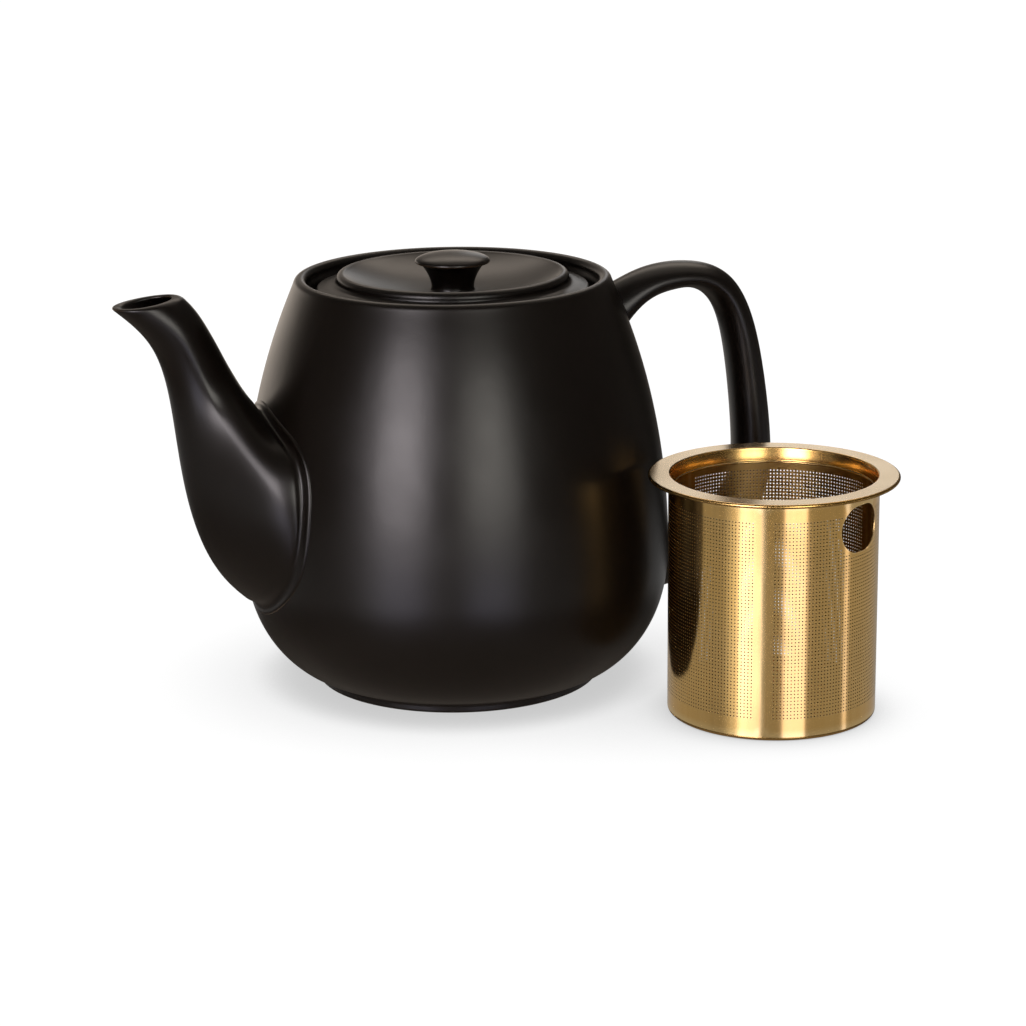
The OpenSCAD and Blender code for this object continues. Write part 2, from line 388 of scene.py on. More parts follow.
def pot_profile():
    """From the middle of the bottom out, up the outside and down the inside."""
    ring_in = FOOT_R - FOOT_RING
    lip = np.array([LIP_R, side_top_z]) - LIP_ROUND * np.array(
        [math.cos(side_angle), math.sin(side_angle)])
    under_ledge = LEDGE_Z - LEDGE_T
    inside_top = moved_left(bezier(upper_side, 40, 0, SHOULDER_SHARE), WALL)
    inside_low = moved_left(bezier(lower_side, 40), WALL)
    return np.vstack([
        line((0, UNDER_FOOT), (ring_in - FOOT_COVE - 0.9, UNDER_FOOT)),
        arc((ring_in - FOOT_COVE, UNDER_FOOT - FOOT_COVE), FOOT_COVE, 90, 0, 6),
        arc((ring_in + FOOT_ROUND, FOOT_ROUND), FOOT_ROUND, 180, 270, 8),
        arc((FOOT_R - FOOT_ROUND, FOOT_ROUND), FOOT_ROUND, 270, 360, 8),
        bezier([(FOOT_R, FOOT_H - 1.4), (FOOT_R, FOOT_H - 0.4),
                (FOOT_R + 0.6, FOOT_H - 0.1), lower_side[0]], 6)[:-1],
        bezier(lower_side, 40),
        bezier(upper_side, 60)[1:-1],
        arc(lip, LIP_ROUND, math.degrees(side_angle), 180, 20),
        bezier([lip - (LIP_ROUND, 0.1), lip - (LIP_ROUND, 1.6),
                (RECESS_R, side_top_z - 2.6), (RECESS_R, LEDGE_Z + RECESS_ROUND)], 20)[:-1],
        arc((RECESS_R - RECESS_ROUND, LEDGE_Z + RECESS_ROUND), RECESS_ROUND, 0, -90, 5),
        line((RECESS_R - 0.8, LEDGE_Z), (MOUTH_R + 1.0, LEDGE_Z)),
        arc((MOUTH_R + LEDGE_ROUND, LEDGE_Z - LEDGE_ROUND), LEDGE_ROUND, 90, 180, 6),
        line((MOUTH_R, LEDGE_Z - 1.0), (MOUTH_R, under_ledge + 0.7)),
        arc((MOUTH_R + 0.6, under_ledge + 0.6), 0.6, 180, 260, 5),
        inside_top[::-1],
        inside_low[::-1][1:-3],
        bezier([inside_low[3], inside_low[1], (FOOT_R - 5, FLOOR_Z),
                (FOOT_R - 9, FLOOR_Z)], 8)[1:],
        [(0, FLOOR_Z)],
    ])


def drain_cutters():
    """Seven round pegs through the wall behind the spout."""
    bm = bmesh.new()
    round_one = [(DRAIN_PITCH * math.cos(math.radians(60 * k)),
                  DRAIN_PITCH * math.sin(math.radians(60 * k))) for k in range(6)]
    for y, z in [(0, 0)] + round_one:
        place = Matrix.Translation(Vector((-BELLY_R, y, DRAIN_Z + z)) * MM)
        bmesh.ops.create_cone(bm, cap_ends=True, segments=24, radius1=DRAIN_R * MM,
                              radius2=DRAIN_R * MM, depth=20 * MM,
                              matrix=place @ Matrix.Rotation(math.pi / 2, 4, "Y"))
    mesh = bpy.data.meshes.new("drain_cutters")
    bm.to_mesh(mesh)
    bm.free()
    cutters = bpy.data.objects.new("drain_cutters", mesh)
    bpy.context.scene.collection.objects.link(cutters)
    return cutters


def make_pot():
    points, faces = turned(pot_profile())
    pot = make_piece("pot_body_glazed", points, faces, [GLAZE, CLAY], "teapot",
                     ["pot_body"])
    cutters = drain_cutters()
    cut = pot.modifiers.new("drains", "BOOLEAN")
    cut.operation = "DIFFERENCE"
    cut.object = cutters
    cut.solver = "EXACT"
    bpy.context.view_layer.update()
    graph = bpy.context.evaluated_depsgraph_get()
    mesh = bpy.data.meshes.new_from_object(pot.evaluated_get(graph), depsgraph=graph)
    pot.modifiers.clear()
    pot.data = mesh
    bpy.data.objects.remove(cutters)
    for face in mesh.polygons:
        face.material_index = 1 if face.center.z < BARE_Z * MM else 0


# ---------------------------------------------------------------- spout and handle

ROOT_SMOOTHING = 6    # rounds of smoothing of the line where a piece meets the pot
ROOT_DEPTH = 0.6      # how far inside the pot's outside the handle's ends stop


def oval(a, b, half_w, square, columns, rise=0.0):
    """Closed rings between pairs of points of the X-Z plane, half_w to each side of it.

    square is 2 for an ellipse and more for a squarer ring. rise is how far the widest part
    sits above the middle, as a share of the half height.
    """
    t = np.arange(columns) * 2 * math.pi / columns
    power = 2 / square
    c = np.sign(np.cos(t)) * np.abs(np.cos(t)) ** power
    s = np.sign(np.sin(t)) * np.abs(np.sin(t)) ** power
    c = c + rise * s**2
    middle = (a + b)[:, None] / 2 + c[..., None] * (a - b)[:, None] / 2
    return np.stack([middle[..., 0], half_w[:, None] * s, middle[..., 1]], 2)


def at_index(curve, index):
    """Points of a fine line at indices that need not be whole."""
    whole = np.arange(len(curve))
    return np.stack([np.interp(index, whole, curve[:, k]) for k in range(3)], 1)


def root(lines, fillet, foot, size, lift):
    """Brings a ring of lines that run away from the pot down onto the pot's outside.

    Each line is left at the distance fillet from where it meets the pot. The points of
    foot, given as distance along the pot's surface and height above it, lead to the pot;
    size and lift scale the two for each line. Returns the new points of each line, from
    the far end of foot up, and the index where the line itself takes over.
    """
    meets, leaves, indices = [], [], []
    for curve in lines:
        gap = body_gap(curve)
        i = int(np.nonzero(gap < 0)[0][-1])
        start = i + gap[i] / (gap[i] - gap[i + 1])
        steps = np.linalg.norm(np.diff(curve, axis=0), axis=1)
        length = np.concatenate([[0], np.cumsum(steps)])
        whole = np.arange(len(curve))
        take = np.interp(np.interp(start, whole, length) + fillet, length, whole)
        here, there = at_index(curve, np.array([take, take + 1.0]))
        meets.append(at_index(curve, np.array([start]))[0])
        leaves.append((here, (there - here) / np.linalg.norm(there - here)))
        indices.append(take)
    meets = np.array(meets)
    for _ in range(ROOT_SMOOTHING):
        meets = (np.roll(meets, 1, 0) + 2 * meets + np.roll(meets, -1, 0)) / 4
    ups = np.array([body_normal(p) for p in meets])
    sides = np.cross(np.roll(meets, -1, 0) - np.roll(meets, 1, 0), ups)
    sides *= np.sign((sides * (meets - meets.mean(0))).sum())
    for _ in range(ROOT_SMOOTHING):
        sides = (np.roll(sides, 1, 0) + 2 * sides + np.roll(sides, -1, 0)) / 4
    sides /= np.linalg.norm(sides, axis=1)[:, None]
    foot = np.array(foot, float)
    starts = []
    for meet, up, side, (here, leave), wide, high in zip(
            meets, ups, sides, leaves, size, lift):
        above = foot[:, 1:] * np.where(foot[:, 1:] > 0, high, 1.0)
        low = meet + foot[:, :1] * wide * side + above * up
        pull = 0.5 * np.linalg.norm(here - low[-1])
        blend = bezier([low[-1], low[-1] - pull * side, here - pull * leave, here], 10)
        starts.append(np.vstack([low[:-1], blend[:-1]]))
    return starts, indices


SPOUT_REACH = -cad_size("spout")[0][0]
SPOUT_TIP_Z = 118.2
SPOUT_WALL = 3.0
MOUTH_WALL = 1.8
SPOUT_BASE_W = 60.0
SPOUT_FILLET = 4.5
SPOUT_INSIDE = 0.8    # how far past the pot's outside the bore runs on

# Evenly spaced along the spout from root to tip, as the outlines' points
spout_upper = [(44, 95.6), (55.9, 84.4), (65.8, 95.1), (70.7, 104.8), (75.8, 114.2),
               (SPOUT_REACH - 20, SPOUT_TIP_Z + 1.4)]
spout_lower = [(50, 18.9), (70.7, 35), (80.9, 59.8), (84.6, 86.1), (89.7, 105.5),
               (SPOUT_REACH + 1.0, SPOUT_TIP_Z - 0.3)]
spout_half = [SPOUT_BASE_W / 2 + 1.2, SPOUT_BASE_W / 2 - 2, 16, 10.5, 9.8, 8]
spout_square = [2.8, 1.8, 1.7, 1.7, 1.9, 2]
spout_rise = [-0.25, 0.3, 0.25, 0.1, 0, 0]


def spout_rings(u, inset, back_inset, columns):
    """Rings of the spout at the shares u of its length, drawn in by inset.

    back_inset is the same for the upper side, towards the pot.
    """
    a, b, half_w = spline(spout_upper, u), spline(spout_lower, u), spline(spout_half, u)
    across = (a - b) / np.linalg.norm(a - b, axis=1)[:, None]
    return oval(a - back_inset[:, None] * across, b + inset[:, None] * across,
                half_w[:, 0] - inset, spline(spout_square, u), columns,
                spline(spout_rise, u))


# Bead round the spout's root: distance out along the pot and height above it
SPOUT_BEAD = [(2.6, -0.5), (2.45, -0.05), (2.3, 0.3), (2.0, 0.62), (1.6, 0.8),
              (1.2, 0.74), (0.8, 0.55), (0.3, 0.5)]


def make_spout():
    columns, fine, rows, inner_rows, mouth_rows = 160, 600, 70, 40, 12
    u = np.linspace(0, 1, fine)
    none = np.zeros(fine)
    inset = SPOUT_WALL + (MOUTH_WALL - SPOUT_WALL) * u
    towards_pot = (-1, 1, 1)
    outer = spout_rings(u, none, none, columns) * towards_pot
    # The wall thickens again close to the mouth, mostly at the back
    inner = spout_rings(u, inset + 0.7 * u**6, inset + 1.5 * u**6, columns) * towards_pot
    turn = 2 * math.pi * np.arange(columns) / columns
    upper, under = 0.5 + 0.5 * np.cos(turn), 0.5 - 0.5 * np.cos(turn)
    # The bead is lower and narrower at the top, and all but gone at the bottom
    starts, takes = root(outer.transpose(1, 0, 2), SPOUT_FILLET, SPOUT_BEAD,
                         1 - 0.1 * upper**3 - 0.2 * under**4,
                         (1 - 0.5 * upper**3) * (1 - 0.85 * under**1.5))
    lip = fine - 10
    lines = []
    for j in range(columns):
        curve, bore = outer[:, j], inner[:, j]
        up = at_index(curve, np.linspace(takes[j], lip, rows))
        a, b = curve[lip] - curve[lip - 1], bore[lip] - bore[lip - 1]
        reach = 0.68 * np.linalg.norm(curve[lip] - bore[lip])
        nose = bezier([curve[lip], curve[lip] + reach * a / np.linalg.norm(a),
                       bore[lip] + reach * b / np.linalg.norm(b), bore[lip]],
                      mouth_rows)[1:-1]
        inside = int(np.nonzero(body_gap(bore) < -SPOUT_INSIDE)[0][-1])
        down = bore[np.linspace(lip, inside, inner_rows).round().astype(int)]
        lines.append(np.vstack([starts[j], up, nose, down]))
    rings = np.stack(lines, 1)
    faces = grid_faces(len(rings), columns, close_rows=True)
    make_piece("spout_glazed", rings.reshape(-1, 3), faces, [GLAZE], "teapot",
               ["spout"])


GRIP_OUT = 99.4
GRIP_IN = 89.4
HANDLE_TOP_Z = 115.8
HANDLE_FOOT_Z = 25.0
HANDLE_HALF_W = cad_size("handle")[1][1]
HANDLE_FILLET = 1.3

handle_outer = [(46, HANDLE_TOP_Z - 2.7), (60, HANDLE_TOP_Z + 3), (74, HANDLE_TOP_Z + 4),
                (GRIP_OUT - 15.4, HANDLE_TOP_Z + 0.9), (GRIP_OUT - 8.7, HANDLE_TOP_Z - 6.8),
                (GRIP_OUT - 3.2, 92), (GRIP_OUT + 0.6, 64), (GRIP_OUT - 1.4, 46),
                (GRIP_OUT - 9.9, HANDLE_FOOT_Z + 6.5), (75, HANDLE_FOOT_Z - 2.5),
                (54, HANDLE_FOOT_Z - 7)]
handle_inner = [(46, HANDLE_TOP_Z - 24), (56.7, HANDLE_TOP_Z - 9),
                (66.5, HANDLE_TOP_Z - 4.2), (73.5, HANDLE_TOP_Z - 3.8),
                (GRIP_IN - 8.8, HANDLE_TOP_Z - 8.3), (GRIP_IN - 3.6, 92), (GRIP_IN - 0.8, 64),
                (GRIP_IN - 2.6, 51), (GRIP_IN - 8.9, HANDLE_FOOT_Z + 16.5),
                (71, HANDLE_FOOT_Z + 10.5), (54, HANDLE_FOOT_Z + 9)]
# Small fillet of glaze where the handle meets the pot
HANDLE_FOOT = [(1.3, -0.5), (1.15, 0.0), (0.7, 0.08)]


def make_handle():
    columns, fine, rows = 72, 1200, 150
    u = np.linspace(0, 1, fine)
    rings = oval(spline(handle_outer, u), spline(handle_inner, u),
                 np.full(fine, HANDLE_HALF_W), 2.0, columns)
    half = fine // 2
    even = np.ones(columns)
    first, k_top = root(rings[:half].transpose(1, 0, 2), HANDLE_FILLET, HANDLE_FOOT,
                        even, even)
    last, k_low = root(rings[half:][::-1].transpose(1, 0, 2), HANDLE_FILLET, HANDLE_FOOT,
                       even, even)
    rings = np.stack([np.vstack([
        first[j], at_index(rings[:, j], np.linspace(k_top[j], fine - 1 - k_low[j], rows)),
        last[j][::-1]]) for j in range(columns)], 1)
    points = rings.reshape(-1, 3)
    faces = grid_faces(len(rings), columns)
    ends = []
    for ring, start in ((rings[0], 0), (rings[-1], (len(rings) - 1) * columns)):
        centre = ring.mean(0)
        centre -= (body_gap(centre) + ROOT_DEPTH) * body_normal(centre)
        hub = len(points) + len(ends)
        ends.append(centre)
        faces += [(start + j, start + (j + 1) % columns, hub) for j in range(columns)]
    make_piece("handle_glazed", np.vstack([points, ends]), faces, [GLAZE], "teapot",
               ["handle"])


# ---------------------------------------------------------------- lid

lid_low, lid_high = cad_size("lid_plate")
knob_high = cad_size("lid_knob")[1]
LID_R = lid_high[0]
RING_Z = lid_high[2]
RING_R = 32.3
RING_ROUND = 1.7
DISH_Z = 116.4
LID_EDGE_Z = LEDGE_Z + 3.4
LID_EDGE_ROUND = 0.9
SKIRT_R = 28.5
SKIRT_T = 3.0
SKIRT_ROUND = 0.8
KNOB_R = knob_high[0]
KNOB_TOP_Z = knob_high[2]
KNOB_EDGE_ROUND = 0.45


def lid_profile():
    """From the middle of the dish out over the ring and back underneath."""
    under = LEDGE_Z + 0.05
    skirt_z = lid_low[2]
    skirt_in = SKIRT_R - SKIRT_T
    ceiling = DISH_Z - 3.6
    return np.vstack([
        line((0, DISH_Z), (7.0, DISH_Z)),
        bezier([(7.4, DISH_Z), (15, DISH_Z + 0.2), (24, DISH_Z + 2.0),
                (RING_R - 0.95, RING_Z - 0.29)], 30)[:-1],
        arc((RING_R, RING_Z - RING_ROUND), RING_ROUND, 122, -4, 20),
        bezier([(RING_R + RING_ROUND, RING_Z - RING_ROUND - 0.3),
                (RING_R + RING_ROUND, LID_EDGE_Z + 1.4), (RING_R + 2.1, LID_EDGE_Z + 0.75),
                (RING_R + 4, LID_EDGE_Z + 0.55)], 12),
        bezier([(RING_R + 4, LID_EDGE_Z + 0.55), (RING_R + 5, LID_EDGE_Z + 0.4),
                (LID_R - 1.6, LID_EDGE_Z + 0.1), (LID_R - 0.9, LID_EDGE_Z)], 6)[1:-1],
        arc((LID_R - LID_EDGE_ROUND, LID_EDGE_Z - LID_EDGE_ROUND), LID_EDGE_ROUND, 88, 0, 8),
        arc((LID_R - 0.6, under + 0.6), 0.6, 0, -90, 6),
        line((LID_R - 1, under), (SKIRT_R + 0.5, under)),
        arc((SKIRT_R + 0.5, under - 0.5), 0.5, 90, 180, 4)[1:],
        line((SKIRT_R, under - 0.7), (SKIRT_R, skirt_z + 1)),
        arc((SKIRT_R - SKIRT_ROUND, skirt_z + SKIRT_ROUND), SKIRT_ROUND, 0, -90, 6),
        arc((skirt_in + SKIRT_ROUND, skirt_z + SKIRT_ROUND), SKIRT_ROUND, -90, -180, 6),
        line((skirt_in, skirt_z + 1), (skirt_in, ceiling - 1.6)),
        arc((skirt_in - 1.5, ceiling - 1.5), 1.5, 0, 90, 6)[1:],
        [(skirt_in - 2, ceiling), (0, ceiling)],
    ])


def knob_profile():
    """From the middle of the foot out, up the flared stem and over the disc."""
    foot_z = DISH_Z - 0.4
    disc_z = KNOB_TOP_Z - 2.6
    return np.vstack([
        [(0, foot_z)],
        line((0.5, foot_z), (6.2, foot_z)),
        bezier([(6.7, DISH_Z - 0.1), (6.4, DISH_Z + 0.05), (6.25, DISH_Z + 0.3),
                (6.2, DISH_Z + 1.0)], 6),
        bezier([(6.2, DISH_Z + 1.0), (6.3, DISH_Z + 3.0), (7.6, disc_z - 2.6),
                (9.3, disc_z - 0.75)], 20)[1:],
        bezier([(9.3, disc_z - 0.75), (9.65, disc_z - 0.4), (10, disc_z - 0.42),
                (KNOB_R - 0.55, disc_z - 0.42)], 5)[1:-1],
        arc((KNOB_R - KNOB_EDGE_ROUND, disc_z), KNOB_EDGE_ROUND, -90, 10, 10),
        bezier([(KNOB_R, disc_z + 0.1), (KNOB_R - 0.1, disc_z + 1.4), (6, KNOB_TOP_Z),
                (0, KNOB_TOP_Z)], 30)[1:],
    ])


def make_lid():
    for name, profile, node in (("lid_plate_glazed", lid_profile(), "lid_plate"),
                                ("lid_knob_glazed", knob_profile(), "lid_knob")):
        points, faces = turned(profile)
        make_piece(name, points, faces, [GLAZE], "lid", [node])


# ---------------------------------------------------------------- infuser basket

wall_low, wall_high = cad_size("infuser_wall")
rim_low, rim_high = cad_size("infuser_rim")
BASKET = (wall_low + wall_high)[:2] / 2
BASKET_R = (wall_high - wall_low)[0] / 2
FLANGE_R = (rim_high - rim_low)[0] / 2
BASKET_TOP = rim_high[2]
WALL_TOP = wall_high[2]
WALL_FOOT = wall_low[2]
SHEET = 0.25
GAP = 0.05            # between the wall and the rim or the base
COLLAR_R = BASKET_R - SHEET - GAP
COLLAR_H = 4.2
PANELS = 3
PANEL_COLUMNS, STRIP_COLUMNS = 58, 5
PANEL_DEG = 110.0
HOLE_R = 0.235
HOLE_SIDES = 8
HOLE_ROWS = 57
FIRST_ROW, LAST_ROW = BASKET_TOP - 7.0, 6.8
FINGER_DEG = -57.6
FINGER_W, FINGER_H = 16.8, 13.4
FINGER_Z = BASKET_TOP - 11.2
FINGER_CLEAR = 1.1    # from the finger hole to the nearest middles of holes
BASE_TOP = cad_size("infuser_base")[1][2]
BASE_ROUND = 1.15
BASE_INSIDE_ROUND = 0.8
BASE_PITCH = 1.0
BASE_HOLES_R = 21.0
BASE_FLAT_R = 24.0
FACES_ACROSS = 0.7    # cosine above which a face of the wall counts as its in- or outside


def rim_profile():
    """Flange, and a collar that tapers down to a small rolled bead."""
    edge, bead, corner = 0.6, 0.3, 0.45
    top, under = BASKET_TOP, WALL_TOP + GAP
    mouth, throat, low = COLLAR_R - SHEET + 0.1, COLLAR_R - 0.85, top - COLLAR_H
    return np.vstack([
        arc((throat, low), bead, 110, 360, 14),
        line((throat + bead, low + 0.1), (COLLAR_R, under - 0.4)),
        arc((COLLAR_R + 0.3, under - 0.3), 0.3, 180, 90, 4),
        line((COLLAR_R + 0.5, under), (FLANGE_R - edge - 0.1, under)),
        arc((FLANGE_R - edge, under + edge), edge, -90, 90, 16),
        line((FLANGE_R - edge - 0.1, top), (mouth + corner + 0.1, top)),
        arc((mouth + corner, top - corner), corner, 90, 160, 8),
        bezier([(mouth, top - corner - 0.1), (mouth - 0.35, top - corner - 1.1),
                (throat + 0.05, low + 1.4), (throat, low + bead + 0.1)], 14),
    ])


def plain_part(x_lines, y_lines, keep, outlines, inside):
    """The sheet between the outlines and the stepped edge of the cells, in triangles."""
    points, edges, index = [], [], {}

    def vertex(x, y):
        key = (round(float(x), 5), round(float(y), 5))
        if key not in index:
            index[key] = len(points)
            points.append(Vector(key))
        return index[key]

    for loop in outlines:
        ids = [vertex(*p) for p in loop]
        edges += list(zip(ids, ids[1:] + ids[:1]))
    padded = np.pad(keep, 1)
    for r, c in zip(*np.nonzero(keep)):
        for dr, dc, ends in ((-1, 0, ((0, 0), (0, 1))), (1, 0, ((1, 0), (1, 1))),
                             (0, -1, ((0, 0), (1, 0))), (0, 1, ((0, 1), (1, 1)))):
            if not padded[r + 1 + dr, c + 1 + dc]:
                edges.append(tuple(vertex(x_lines[c + e[1]], y_lines[r + e[0]])
                                   for e in ends))
    flat, _, triangles, _, _, _ = delaunay_2d_cdt(points, edges, [], 0, 1e-6)
    flat = np.array([tuple(v) for v in flat])
    centres = np.array([flat[list(t)].mean(0) for t in triangles])
    c = np.searchsorted(x_lines, centres[:, 0]) - 1
    r = np.searchsorted(y_lines, centres[:, 1]) - 1
    within = (c >= 0) & (c < keep.shape[1]) & (r >= 0) & (r < keep.shape[0])
    taken = np.zeros(len(centres), bool)
    taken[within] = keep[r[within], c[within]]
    plain = inside(centres[:, 0], centres[:, 1]) & ~taken
    return flat[:, 0], flat[:, 1], [list(t) for t, ok in zip(triangles, plain) if ok]


def cells_with_holes(x_lines, y_lines, keep):
    """Square cells with a round hole each, and the indices round every hole."""
    rows, columns = np.nonzero(keep)
    x0, x1 = x_lines[columns], x_lines[columns + 1]
    y0, y1 = y_lines[rows], y_lines[rows + 1]
    a = np.radians(360 / HOLE_SIDES * (np.arange(HOLE_SIDES) + 0.5))
    ring_x = (x0 + x1)[:, None] / 2 + HOLE_R * np.cos(a)
    ring_y = (y0 + y1)[:, None] / 2 + HOLE_R * np.sin(a)
    x = np.hstack([np.stack([x1, x0, x0, x1], 1), ring_x])
    y = np.hstack([np.stack([y1, y1, y0, y0], 1), ring_y])
    start = (4 + HOLE_SIDES) * np.arange(len(rows))[:, None]
    faces = []
    for corner in range(4):
        first, second, third = (4 + (2 * corner + k) % HOLE_SIDES for k in range(3))
        faces += (start + [corner, second, first]).tolist()
        faces += (start + [corner, (corner + 1) % 4, third, second]).tolist()
    rings = (start + np.arange(4, 4 + HOLE_SIDES)).tolist()
    return x.ravel(), y.ravel(), faces, rings


def perforated(x_lines, y_lines, keep, outlines, inside, sheet_place, close_edges=True):
    """A flat pattern of square cells with one round hole each, bent into a sheet.

    x_lines and y_lines are the cells' borders, keep says which cells hold a hole, and
    outlines are the closed loops round the plain part. inside(x, y) tells the plain part
    from what is cut away. sheet_place(x, y, side) puts points on the outer (0) or inner
    (1) face of the sheet. close_edges closes the sheet along the outlines.
    """
    *cells, rings = cells_with_holes(x_lines, y_lines, keep)
    patches = [cells, plain_part(x_lines, y_lines, keep, outlines, inside)]
    verts, all_faces, offset = [], [], 0
    for side in (0, 1):
        for x, y, faces in patches:
            verts.append(sheet_place(x, y, side))
            all_faces += [[offset + i for i in (f if side == 0 else f[::-1])] for f in faces]
            offset += len(x)
    for ring in rings:
        far = [offset // 2 + i for i in ring]
        all_faces += [[ring[k - 1], ring[k], far[k], far[k - 1]] for k in range(HOLE_SIDES)]
    for loop in outlines if close_edges else []:
        n = len(loop)
        verts += [sheet_place(loop[:, 0], loop[:, 1], side) for side in (0, 1)]
        all_faces += [[offset + k, offset + (k + 1) % n, offset + n + (k + 1) % n,
                       offset + n + k] for k in range(n)]
        offset += 2 * n
    return np.vstack(verts), all_faces


def shade_wall(piece):
    """Exact shading for the sheet bent round the basket's axis, with crisp holes.

    All but the outside takes the second material, darkened as painted shade.
    """
    mesh = piece.data
    owner = read(mesh.loops, "vertex_index", 1)[:, 0].astype(int)
    sizes = read(mesh.polygons, "loop_total", 1)[:, 0].astype(int)
    flat = np.repeat(read(mesh.polygons, "normal", 3), sizes, axis=0)
    radial = read(mesh.vertices, "co", 3)[owner] - (BASKET[0] * MM, BASKET[1] * MM, 0)
    radial[:, 2] = 0
    radial /= np.linalg.norm(radial, axis=1)[:, None]
    toward = (flat * radial).sum(1)
    outside = toward[np.cumsum(sizes) - sizes] > FACES_ACROSS
    mesh.polygons.foreach_set("material_index", np.where(outside, 0, 1))
    normal = np.where(np.abs(toward)[:, None] > FACES_ACROSS,
                      np.sign(toward)[:, None] * radial, flat)
    mesh.normals_split_custom_set(normal.tolist())


def slot_outline(width, height, step):
    """Closed outline of a slot with round ends, wider than it is high."""
    r = height / 2
    reach = (width - height) / 2
    ends = math.ceil(math.pi * r / step)
    flats = max(1, math.ceil(2 * reach / step))
    right = arc((reach, 0), r, -90, 90, ends)
    left = arc((-reach, 0), r, 90, 270, ends)
    top = np.linspace(right[-1], left[0], flats + 1)[1:-1]
    bottom = np.linspace(left[-1], right[0], flats + 1)[1:-1]
    return np.vstack([right, top, left, bottom])


def slot_distance(x, y, width, height):
    """Distance outside that slot, negative within it."""
    reach = (width - height) / 2
    return np.hypot(np.maximum(np.abs(x) - reach, 0), y) - height / 2


def whole_sheet(x, y):
    return np.ones(len(x), bool)


def past_finger_hole(x, y):
    return slot_distance(x, y - FINGER_Z, FINGER_W, FINGER_H) > 0


def make_wall():
    pitch_z = (FIRST_ROW - LAST_ROW) / (HOLE_ROWS - 1)
    y_lines = LAST_ROW + pitch_z * (np.arange(HOLE_ROWS + 1) - 0.5)
    half = BASKET_R * math.radians(PANEL_DEG / 2)
    x_lines = np.linspace(-half, half, PANEL_COLUMNS + 1)
    side = BASKET_R * math.radians(180 / PANELS)
    strip = np.linspace(half, side, STRIP_COLUMNS // 2 + 2)[1:]
    across = np.concatenate([-strip[::-1], x_lines, strip])
    up = np.linspace(WALL_FOOT, WALL_TOP, 60)
    outline = np.vstack([
        np.stack([across, np.full(len(across), WALL_FOOT)], 1)[:-1],
        np.stack([np.full(len(up), side), up], 1)[:-1],
        np.stack([across[::-1], np.full(len(across), WALL_TOP)], 1)[:-1],
        np.stack([np.full(len(up), -side), up[::-1]], 1)[:-1]])
    for k in range(PANELS):
        facing = math.radians(FINGER_DEG + 360 / PANELS * k)
        keep = np.ones((HOLE_ROWS, PANEL_COLUMNS), bool)
        outlines, inside = [outline], whole_sheet
        if k == 0:
            cx = (x_lines[:-1] + x_lines[1:]) / 2
            cy = (y_lines[:-1] + y_lines[1:]) / 2 - FINGER_Z
            keep = slot_distance(cx[None], cy[:, None], FINGER_W, FINGER_H) > FINGER_CLEAR
            outlines.append(slot_outline(FINGER_W, FINGER_H, 0.5) + (0, FINGER_Z))
            inside = past_finger_hole

        def place(x, y, inner, facing=facing):
            angle = facing + x / BASKET_R
            r = BASKET_R - SHEET * inner
            return np.stack([BASKET[0] + r * np.cos(angle),
                             BASKET[1] + r * np.sin(angle), y], 1)

        points, faces = perforated(x_lines, y_lines, keep, outlines, inside, place)
        piece = make_piece(f"infuser_wall_panel_{k + 1}", points, faces,
                           [GOLD, GOLD_INSIDE_SHADED], "infuser", ["infuser_wall"])
        shade_wall(piece)


def make_base():
    """A disc with holes, and round it a turned part with the rounded corner."""
    inner = BASKET_R - SHEET - GAP
    inside = inner - SHEET
    corner = BASE_INSIDE_ROUND
    points, faces = turned(np.vstack([
        line((BASE_FLAT_R, 0), (BASKET_R - BASE_ROUND - 0.05, 0)),
        arc((BASKET_R - BASE_ROUND, BASE_ROUND), BASE_ROUND, 270, 360, 12),
        [(inner, BASE_ROUND + 0.02)],
        line((inner, BASE_ROUND + 0.2), (inner, BASE_TOP - 0.1)),
        arc((inner - SHEET / 2, BASE_TOP - SHEET / 2), SHEET / 2, 0, 180, 6),
        line((inside, BASE_TOP - 0.3), (inside, SHEET + corner + 0.1)),
        arc((inside - corner, SHEET + corner), corner, 0, -90, 8),
        line((inside - corner - 0.1, SHEET), (BASE_FLAT_R, SHEET)),
    ]), BASKET)
    reach = math.ceil(BASE_HOLES_R) + 1.5
    lines = np.arange(-reach, reach + BASE_PITCH / 2, BASE_PITCH)
    middle = (lines[:-1] + lines[1:]) / 2
    keep = np.hypot(middle[None], middle[:, None]) < BASE_HOLES_R
    circle = arc((0, 0), BASE_FLAT_R, 0, 360, TURNS)[:-1]

    def on_disc(x, y):
        return np.hypot(x, y) < BASE_FLAT_R

    def place(x, y, upper):
        return np.stack([BASKET[0] + x, BASKET[1] + y, np.full(len(x), SHEET * upper)], 1)

    disc_points, disc_faces = perforated(lines, lines, keep, [circle], on_disc, place,
                                         close_edges=False)
    faces += [[len(points) + i for i in f] for f in disc_faces]
    piece = make_piece("infuser_base_pressed", np.vstack([points, disc_points]), faces,
                       [GOLD], "infuser", ["infuser_base"])
    # Flat shading for the level faces and the holes' walls, smooth for the rest
    for face in piece.data.polygons:
        off_axis = math.hypot(face.center.x - BASKET[0] * MM, face.center.y - BASKET[1] * MM)
        face.use_smooth = off_axis > (BASE_FLAT_R - 0.2) * MM


def make_basket():
    points, faces = turned(rim_profile(), BASKET, closed=True)
    make_piece("infuser_rim_pressed", points, faces, [GOLD_FLANGE], "infuser",
               ["infuser_rim"])
    make_wall()
    make_base()


# ---------------------------------------------------------------- stage

FLOOR_R = 4.0         # metres


